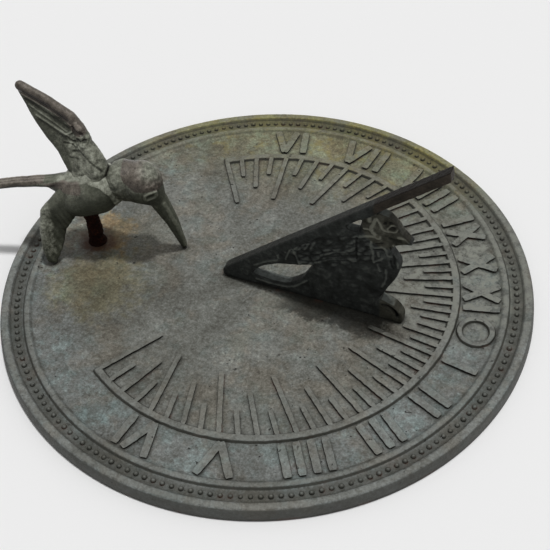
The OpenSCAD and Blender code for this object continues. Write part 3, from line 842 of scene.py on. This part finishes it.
# Relief of the songbird: points, width, and height, below zero for a groove
SONGBIRD_LINES = (
    # Head: ring round the cheek, knob at the nape, holes, eye in its diamond, bill
    (((55, 62), (54.2, 59), (53.3, 56.5), (53.6, 54.5), (55, 53), (57, 51.5)), 1.7, 0.8),
    (((52.4, 60.2), (52.4, 63.8)), 2.4, 0.6),
    (((59.4, 67.2), (60, 68.8)), 1.5, -0.9),
    (((55.8, 65.4), (56.3, 66)), 1.5, -0.8),
    (((59.1, 60.4), (59.5, 60.9)), 1.4, -0.8),
    (((61.5, 61.5), (62, 62)), 1.3, -0.7),
    (((63.3, 61.9), (63.8, 62.1)), 1.3, -0.6),
    (((60.5, 58), (62.5, 60.8), (64.8, 60.2), (64.3, 57.5), (61.3, 56.8), (60.5, 58)), 1.0, 0.6),
    (((62.8, 59.2), (63.3, 59)), 1.8, -0.6),
    (((55.5, 62.5), (57, 60), (58.6, 57), (61, 56.6)), 1.2, 0.6),
    (((65.6, 54.4), (68.6, 54.6), (71, 52.4)), 1.9, 0.5),
    (((67.6, 56.6), (68, 56.4)), 1.3, -0.5),
    (((61.5, 52.6), (65.5, 51.8)), 1.4, -0.5),
    # Collar, nape and seam of the shoulder
    (((50, 54.8), (54, 55.6)), 1.3, 0.6),
    (((48.5, 49.5), (52, 51), (57, 52)), 1.6, 0.7),
    (((48.3, 52), (48.3, 54.8)), 0.9, -0.5),
    (((46.8, 48), (46.6, 42), (46.9, 35)), 1.0, -0.6),
    # Breast: folds, ledge and light edge
    (((53.5, 48), (53.3, 45), (54.5, 41.5), (54.4, 38), (55, 36)), 1.3, 0.65),
    (((55, 36), (57.5, 38), (58.8, 39.5)), 1.2, 0.55),
    (((56.8, 42.5), (57, 40)), 1.1, 0.5),
    (((56.5, 35), (57.8, 31)), 1.2, 0.5),
    (((53.5, 46), (55, 44.8), (58.5, 46.3), (60, 45)), 1.2, 0.6),
    (((55.5, 47.2), (58.5, 48.4)), 0.9, -0.5),
    (((55, 43.9), (59, 44.4)), 0.9, -0.5),
    (((63.6, 49), (65.2, 45.5), (66.2, 41), (66, 36)), 1.4, 0.55),
    (((62.2, 47), (63.8, 43), (64.4, 38)), 1.3, -0.5),
    (((60.5, 45), (61, 42), (63, 42)), 1.1, 0.5),
    (((62.5, 39), (63, 36.5), (64, 34.5)), 1.1, -0.5),
    (((60.5, 33), (60.8, 27), (59, 21)), 1.2, 0.4),
    # Wing: long feathers that slope up to the shoulder, and short ribs at its tip
    (((25, 24), (31, 28), (37, 31.5), (44, 34)), 1.8, 0.34),
    (((30, 31), (35, 34.8), (43, 38.5)), 1.8, 0.34),
    (((28, 26.6), (34, 30.4), (42, 33.6)), 1.0, -0.36),
    (((26, 29), (33, 34.2), (41, 38)), 1.0, -0.36),
    (((17, 31), (19, 34)), 1.4, 0.36),
    (((19.7, 31.5), (21.7, 35)), 1.4, 0.36),
    (((22.3, 32.5), (24.2, 36.5)), 1.4, 0.36),
    (((25, 33.8), (27, 38)), 1.4, 0.36),
    # Leaves at the tail's root and the edges round the opening
    (((12.5, 22.5), (14, 27), (15.5, 30.5), (17, 28.5), (18.5, 24), (20, 21)), 1.2, 0.5),
    (((9, 22), (8.5, 25.5), (10.5, 29.5), (12.6, 27)), 1.2, 0.45),
    (((-4, 12.6), (2, 17), (8, 20.4)), 1.2, 0.4),
    (((-3, 3.6), (8, 3.2), (16, 5.4), (22.6, 11.6)), 1.4, 0.45),
    # Scroll foot: groove under its raised rim
    (((58.6, 9.4), (61.4, 9.7), (64.6, 8), (66.4, 5.4), (66.8, 2.6)), 1.6, -0.9),
)


def make_gnomon(finish):
    bm = bmesh.new()
    upright_plate(bm, panel_outline(), (leaf_opening(), nape_opening()), PANEL_T)
    upright_plate(bm, style_bar(), (), STYLE_T)
    # The scroll foot: a tongue that curls over, hollowed between its rim and its lobe
    foot = curve([(56, 0), (56, 6), (57.6, 12.2), (61, 11.8), (65, 10), (68, 7), (69.3, 3.6), (69.2, 0)], 5)
    hollow = curve([(58.4, 9.2), (61.4, 10.4), (64.8, 8.8), (67.2, 6.2), (67.8, 3.2), (66.2, 3.4),
                    (65, 6.2), (62.8, 7.6), (60.4, 7.8), (58.4, 9.2)], 3)
    upright_plate(bm, foot, (hollow[:-1],), STYLE_T)
    upright_plate(bm, foot, (), STYLE_T - 2.4)
    bm = fused(bm, 2)
    sculpt(bm, songbird, gnomon_tone)
    soften(bm, 0.4)
    finished("songbird_gnomon", bm, finish, "gnomon")


# Hummingbird

REAR = ((-3.5, 0, -1.5), 11.5)
FRONT = ((5.3, 0, 1.4), 12.0)
TAIL_ROOT = Vector((-10.8, 0, 6.7))
NAPE = ((20.5, -1.3, 10), 9.0)
HEAD = ((27.9, -2.1, 8.4), 10.3)
FACE = ((33.6, -2.6, 0.4), 5.2)
EYES = ((33.5, -10.6, 6.8), (33.5, 6.4, 6.8))
BEAK_LINE = (((34.6, -2.6, -1.2), 4.6), ((40.2, -3.0, -15.5), 3.1), ((44.4, -3.3, -32.1), 1.5))


def bird_cast(bm, name, node, finish, push, tone, softening, place=BIRD_PLACE):
    """Carves one of the hummingbird's castings, puts it in its place and finishes it."""
    sculpt(bm, push, tone)
    soften(bm, softening)
    bmesh.ops.transform(bm, matrix=place, verts=bm.verts)
    finished(name, bm, finish, node)


def mantle(x, z):
    """1 on the rough plumage of the back and breast front, 0 on the smooth belly."""
    edge = np.interp(x, (-7.3, -4.9, 2.9, 9.7, 13.4, 14.5, 15.6), (8.9, 9.5, 11.8, 10, 6.5, 2.9, -16))
    return fade(z, edge - 1.2, edge - 0.4) * fade(x, -15, -9)


def make_body(finish):
    bm = bmesh.new()
    hull(bm, (REAR, FRONT, ((13.5, 0, 5.4), 8.8)))
    rope(bm, (((-4.5, 0, 0.5), 9.0), ((-11, 0, 3.6), 4.8), ((-17, 0, 5.6), 2.2), ((-25, 0, 5.2), 1.4)))
    hull(bm, (((-3.0, 0, 8.0), 5.6), ((5.6, 0, 10.5), 6.4), ((5.0, 0, 4.0), 9.0), ((-4.0, 0, 2.0), 8.4)))
    for fan in (-1, 0, 1):
        rope(bm, [(TAIL_ROOT + Vector(off), r) for off, r in (
            ((3, 1.2 * fan, 0), 3.0), ((-8, 1.3 * fan, -0.6), 2.1), ((-22, 1.4 * fan, -1.7), 1.6),
            ((0.3 * abs(fan) - 44, 1.7 * fan, -5.1), 1.2))])
    bm = fused(bm, 6)

    def plumage(places, normals):
        x, y, z = places.T
        tail = fade(x, -13, -17)
        lumps = mantle(x, z) * (0.34 + 0.12 * scales(places, 2.2, 4) + 0.24 * rough(places, 1.7, 12))
        wear = 0.08 * rough(places, 1.8, 2) + 0.22 * rough(places, 6, 1)
        return lumps * (1 - tail) + tail * (0.1 + 0.16 * np.cos(y * 3.4)) + wear

    def tone(places, normals):
        x, _, z = places.T
        away = off_line(places[:, (0, 2)], ((-60, 2), (-11, 6.7), (-2, 8.0)))
        tail = fade(away, 5.2 + 0.22 * np.minimum(x, 2), 1.0)
        return 0.95 * tail - 0.9 * (1 - tail) * (1 - mantle(x, z))

    bird_cast(bm, "bird_body_cast", "bird_body", finish, plumage, tone, 0.4)


def crown(x, z):
    """1 on the smooth cap of the head."""
    edge = np.interp(x, (20.5, 21.5, 27, 34.9, 37.6), (16.5, 14.3, 10.7, 9.4, 7.4))
    return fade(z, edge - 0.4, edge + 0.4) * fade(x, 19.8, 20.8)


def rubbed(x, z):
    """How bare and brown the cap is: most at its lower back, none at its front."""
    return crown(x, z) * (1.6 - 1.35 * np.clip((x - 22) / 25 + (z - 9) / 17, 0, 1.2))


def make_head(finish):
    bm = bmesh.new()
    hull(bm, (((14.0, -0.3, 5.4), 8.4), ((18.0, -0.9, 5.9), 7.7)))
    hull(bm, (((17.6, -0.8, 5.8), 7.7), NAPE, ((27.4, -2.1, 8.2), 9.7)))
    hull(bm, (HEAD, FACE))
    rope(bm, BEAK_LINE)
    bm = fused(bm, 6)

    def eye_distance(places):
        """1 on the squarish ring round either eye, less inside it and more outside."""
        nearest = np.full(len(places), 9.0)
        for at in EYES:
            off = np.abs(places - at) / (2.3, 5.0, 1.9)
            nearest = np.minimum(nearest, (off ** 4).sum(1) ** 0.25)
        return nearest

    def features(places, normals):
        x, _, z = places.T
        cap = crown(x, z)
        away = eye_distance(places)
        eye = 0.55 * (1 - fade(np.abs(away - 1), 0.14, 0.42)) - 0.35 * fade(away, 0.8, 0.4)
        neck = (1 - cap) * fade(x, 24, 20)
        lumps = neck * (0.1 + 0.08 * scales(places, 2.2, 8) + 0.22 * rough(places, 1.7, 6))
        bill = off_line(places[:, (0, 2)], ((38.2, -2), (42.6, -17), (45.4, -31)))
        line = 0.35 * (1 - fade(bill, 0.4, 1.0))
        top = 0.25 * cap * fade(x + z, 40, 47) * (0.6 + rough(places, 1.6, 14))
        dents = 0.05 * rough(places, 1.5, 3) + 0.12 * rough(places, 6, 7)
        return 0.12 * cap - 0.3 * np.clip(rubbed(x, z), 0, 1) + eye + lumps + line + top + dents

    def tone(places, normals):
        x, _, z = places.T
        smooth = (1 - crown(x, z)) * fade(x, 24, 29)
        return rubbed(x, z) - 0.75 * smooth - 0.6 * fade(eye_distance(places), 0.9, 0.5)

    bird_cast(bm, "bird_head_cast", "bird_head", finish, features, tone, 0.3)


# The raised wing in its own plane: its leading roll, its vane's edge and its quills
WING_ROLL = ((-23.4, 40.6), (-10.8, 32.6), (-1.8, 25.2), (1.8, 19.4), (3.4, 12), (6, 5), (7.5, -1.5))
WING_ROLL_R = (2.3, 2.4, 2.7, 2.9, 3.7, 4.8, 6.0)
VANE_EDGE = ((-24, 38.6), (-21.2, 31.2), (-17.9, 22.9), (-13.8, 15.2), (-9.2, 8), (-6.0, 0.5))
QUILLS = (
    (((-21.5, 38.3), (-11.8, 31.6), (-2.8, 24.4)), 1.0, -0.4),
    (((-22.6, 36.8), (-12.2, 29.7), (-1.5, 22.2)), 1.0, 0.62),
    (((-21.6, 34.2), (-11.5, 26.8), (-3.2, 20.2)), 1.2, -0.35),
    (((-20.2, 31.6), (-12, 25), (-4.2, 18.6)), 0.9, 0.45),
    (((-17.4, 26.4), (-10.5, 21.2), (-3.9, 16.4)), 1.0, 0.62),
    (((-16.4, 24.0), (-10, 19.0), (-4.6, 14.4)), 1.1, -0.35),
    (((0, 11.3), (6.1, 4.7), (12.8, -1.4)), 0.9, -0.3),
    # Folds round the wrist, then creases down the arm
    (((-0.7, 21.2), (0.9, 18.8), (3.4, 17.8)), 1.2, -0.75),
    (((1.8, 23), (3.3, 21.6)), 1.0, -0.45),
    (((-4.5, 17.2), (-2, 18.2), (-1.2, 20.9)), 1.1, 0.55),
    (((-4.5, 16.2), (-3.3, 14.3), (-0.7, 13.6), (0.9, 15.2)), 1.1, -0.65),
    (((1, 15.6), (2.2, 14.7), (5.3, 15.3)), 1.0, -0.55),
    (((-1, 16.8), (1.2, 16.6), (3.4, 16.2)), 1.0, 0.4),
    (((-6.3, 12.7), (-2.6, 12.4), (-0.9, 10.9)), 0.9, -0.45),
    (((-2.6, 8.6), (0.9, 9.4)), 0.9, -0.4),
    (((-4.2, 5.5), (0.1, 5.5)), 0.9, -0.35),
)


def make_raised_wing(finish):
    bm = bmesh.new()
    rope(bm, [((x, 0, z), r) for (x, z), r in zip(WING_ROLL, WING_ROLL_R)])
    for (x0, z0), (x1, z1) in zip(VANE_EDGE, VANE_EDGE[1:]):
        hull(bm, (((x0, 0.3, z0), 0.85), ((x1, 0.3, z1), 0.85), ((1.5, 0.3, 17.5), 1.2)))
    hull(bm, (((1.5, 0.3, 17.5), 1.2), ((-9.2, 0.3, 8), 0.9), ((-5.4, 0.3, -1), 1.4),
              ((5.4, 0.3, 2.0), 2.5)))
    hull(bm, (((2.6, 0, 12), 2.6), ((-0.2, 0.2, 2.0), 3.0), ((-0.8, 0.6, -3.5), 4.2),
              ((6.4, 0.4, -3.0), 5.6)))
    bm = fused(bm, 4)

    def feathers(places, normals):
        flat = places[:, (0, 2)]
        x, z = flat.T
        side = fade(np.abs(normals[:, 1]), 0.4, 0.9)
        push = sum(height * stroke(flat, line, width) for line, width, height in QUILLS)
        knuckle = 0.5 * (1 - fade(np.hypot(x - 1.8, (z - 21.6) / 1.3), 1.0, 2.8))
        scaly = 0.45 * fade(z, 10, 12) * fade(z, 18, 16) * fade(x, -5, -3) * fade(x, 7, 5.5)
        arm = fade(z, 14, 10) * fade(x, -6, -3)
        lumps = arm * (0.2 + 0.1 * scales(places, 2.0, 5) + 0.25 * rough(places, 2.0, 4))
        dents = 0.05 * rough(places, 1.2, 6) + 0.15 * rough(places, 5, 9)
        return (push + knuckle) * side + scaly * scales(places, 2.6, 2) + lumps + dents

    def tone(places, normals):
        flat = places[:, (0, 2)]
        x, z = flat.T
        roll = (1 - fade(off_line(flat, WING_ROLL[:4]), 2.6, 4.2)) * fade(z, 14, 18.5)
        vane = fade(x, -1, -5) * fade(z, 36, 20)
        return 0.8 * roll - 0.55 * vane * (1 - roll)

    bird_cast(bm, "raised_wing_cast", "raised_wing", finish, feathers, tone, 0.3, BIRD_PLACE @ BLADE_PLACE)


def make_lowered_wing(finish):
    bm = bmesh.new()
    elbow, edge = ((-19.4, -9, -5.8), 2.3), ((-13, -8.6, -17), 1.8)
    below = ((-14.8, -12, -25), 1.5), ((-21, -15.8, -24), 1.7)
    hull(bm, (((-8.5, -4.5, 0.5), 5.6), ((-8.8, -5.5, -6.0), 5.2), elbow, edge))
    hull(bm, (elbow, ((-20.6, -12.5, -13), 2.0), ((-13, -8.6, -17.5), 1.8), *below))
    hull(bm, (*below, ((-20, -17, -30.6), 1.5), ((-18.4, -16.2, -32.0), 1.5)))
    bm = fused(bm, 5)

    def left_strip(x, z):
        return fade(x, -15.5, -17.5) * fade(z, -29, -24)

    def feathers(places, normals):
        x, _, z = places.T
        strip = left_strip(x, z)
        lumps = strip * (0.15 + 0.12 * scales(places, 1.9, 11) + 0.2 * rough(places, 1.5, 13))
        ribs = (1 - strip) * 0.12 * np.cos((x + 0.35 * z) * 2.4) * fade(z, -3, -8)
        return lumps + ribs + 0.08 * rough(places, 1.5, 6) + 0.15 * rough(places, 5, 9)

    def tone(places, normals):
        x, _, z = places.T
        return -0.75 * (1 - left_strip(x, z))

    bird_cast(bm, "lowered_wing_cast", "lowered_wing", finish, feathers, tone, 0.3)


def make_post(finish):
    bm = bmesh.new()
    r = POST_D / 2
    line = [(0, 0.0), (r + 1.2, 0.0), (r + 1.0, 0.5), (r + 0.1, 1.4), (r - 0.4, 3.5), (r - 0.1, 7),
            (r + 0.1, 11), (r - 0.2, 15), (r, 20), (r - 0.1, POST_L), (0, POST_L)]
    spun(bm, line, 48)
    outward(bm)
    bm = fused(bm, 1)
    sculpt(bm, lambda places, normals: (0.9 * rough(places, 4.5, 3) + 0.45 * rough(places, 1.6, 8))
           * fade(places[:, 2], 0.0, 1.5) * fade(places[:, 2], 24, 20))
    bmesh.ops.translate(bm, verts=bm.verts, vec=POST_AT)
    finished("iron_post", bm, finish, "support_post")


def make_screws(brass, iron):
    for name, node, finish, screws in (("slotted_screws", "gnomon_screws", brass, GNOMON_SCREWS),
                                       ("slotted_post_screw", "post_screw", iron, POST_SCREWS)):
        bm = bmesh.new()
        for x, y, head_d, d in screws:
            part = bmesh.new()
            depth = (head_d - d) / 2
            head, shank = head_d / 2, d / 2
            line = [(0, 0.15), (head - 0.3, 0.05), (head - 0.1, 0.2), (shank, depth + 0.1),
                    (shank, depth + 5.6), (0, depth + 6)]
            spun(part, line, 48)
            cut = [v for v in part.verts if v.co.z < 0.3 and abs(v.co.y) < SCREW_SLOT_W / 2]
            bmesh.ops.translate(part, verts=cut, vec=(0, 0, 0.7))
            outward(part)
            add(bm, part, Matrix.Translation((x, y, BED_H)))
        finished(name, bm, finish, node)


# Stage

def aim(thing, place, target):
    thing.location = place
    thing.rotation_mode = "QUATERNION"
    thing.rotation_quaternion = (Vector(target) - Vector(place)).to_track_quat("-Z", "Y")


def make_camera():
    data = bpy.data.cameras.new("camera")
    data.lens = LENS
    data.clip_start = CLIP_NEAR
    data.clip_end = CLIP_FAR
    camera = placed("camera", data)
    azimuth, elevation = math.radians(CAMERA_AZIMUTH), math.radians(CAMERA_ELEVATION)
    back = Vector((math.cos(azimuth) * math.cos(elevation), math.sin(azimuth) * math.cos(elevation),
                   math.sin(elevation)))
    aim(camera, (AIM + back * CAMERA_DISTANCE) * MM, AIM * MM)
    camera.rotation_quaternion = camera.rotation_quaternion @ Matrix.Rotation(
        math.radians(CAMERA_ROLL), 4, "Z").to_quaternion()
    bpy.context.scene.camera = camera


def make_light():
    """One far soft lamp overhead, and pale light all round that is stronger from the far right."""
    data = bpy.data.lights.new("overhead", "SUN")
    data.angle = LAMP_WIDTH
    data.energy = LAMP_POWER
    aim(placed("overhead", data), LAMP_FROM, (0, 0, 0))

    world = bpy.data.worlds.new("studio")
    bpy.context.scene.world = world
    world.use_nodes = True
    nodes = Nodes(world.node_tree)
    way = nodes.node("ShaderNodeTexCoord").outputs["Generated"]
    lean = nodes.node("ShaderNodeVectorMath", {0: way, 1: BRIGHT_SIDE}, operation="DOT_PRODUCT")
    level = nodes.node("ShaderNodeMapRange", {"Value": lean.outputs["Value"], "From Min": -1,
                                              "To Min": WORLD_DARK, "To Max": WORLD_BRIGHT})
    # The backdrop is pale where the camera looks past the table, and in what metal reflects
    path = nodes.node("ShaderNodeLightPath")
    backdrop = path.outputs["Is Camera Ray"]
    for ray in ("Is Glossy Ray", "Is Transmission Ray"):
        either = nodes.node("ShaderNodeMath", {0: backdrop, 1: path.outputs[ray]}, operation="MAXIMUM")
        backdrop = either.outputs[0]
    seen = nodes.node("ShaderNodeMix", {"Factor": backdrop, "A": level.outputs["Result"], "B": BACKDROP})
    background = world.node_tree.nodes["Background"]
    nodes.put(background.inputs["Strength"], seen.outputs["Result"])
    nodes.put(background.inputs["Color"], (1, 1, 1, 1))


def make_stage():
    """A pale table under the dial."""
    bm = bmesh.new()
    bmesh.ops.create_grid(bm, x_segments=1, y_segments=1, size=TABLE_HALF, matrix=Matrix.Identity(4))
    mesh = to_mesh(bm, "table")
    mesh.materials.append(Finish("pale_table", 0.0).done((0.87, 0.87, 0.87, 1), 0.9))
    placed("table", mesh)


def main():
    bpy.context.scene.view_settings.view_transform = "Standard"
    make_camera()
    make_stage()
    make_light()
    dial = "dial_brass", dial_patina()
    make_dial(dial)
    make_beads(dial, random.Random(12))
    make_hour_ring(dial)
    make_ticks(dial)
    make_numerals(dial)
    make_noon_circle(dial)
    iron = "rusty_iron", rust()
    make_post(iron)
    make_screws(("screw_brass", screw_brass()), iron)
    make_gnomon(("dark_brass", dark_patina()))
    bird = "bird_brass", bird_patina()
    make_body(bird)
    make_head(bird)
    make_raised_wing(bird)
    make_lowered_wing(bird)


main()
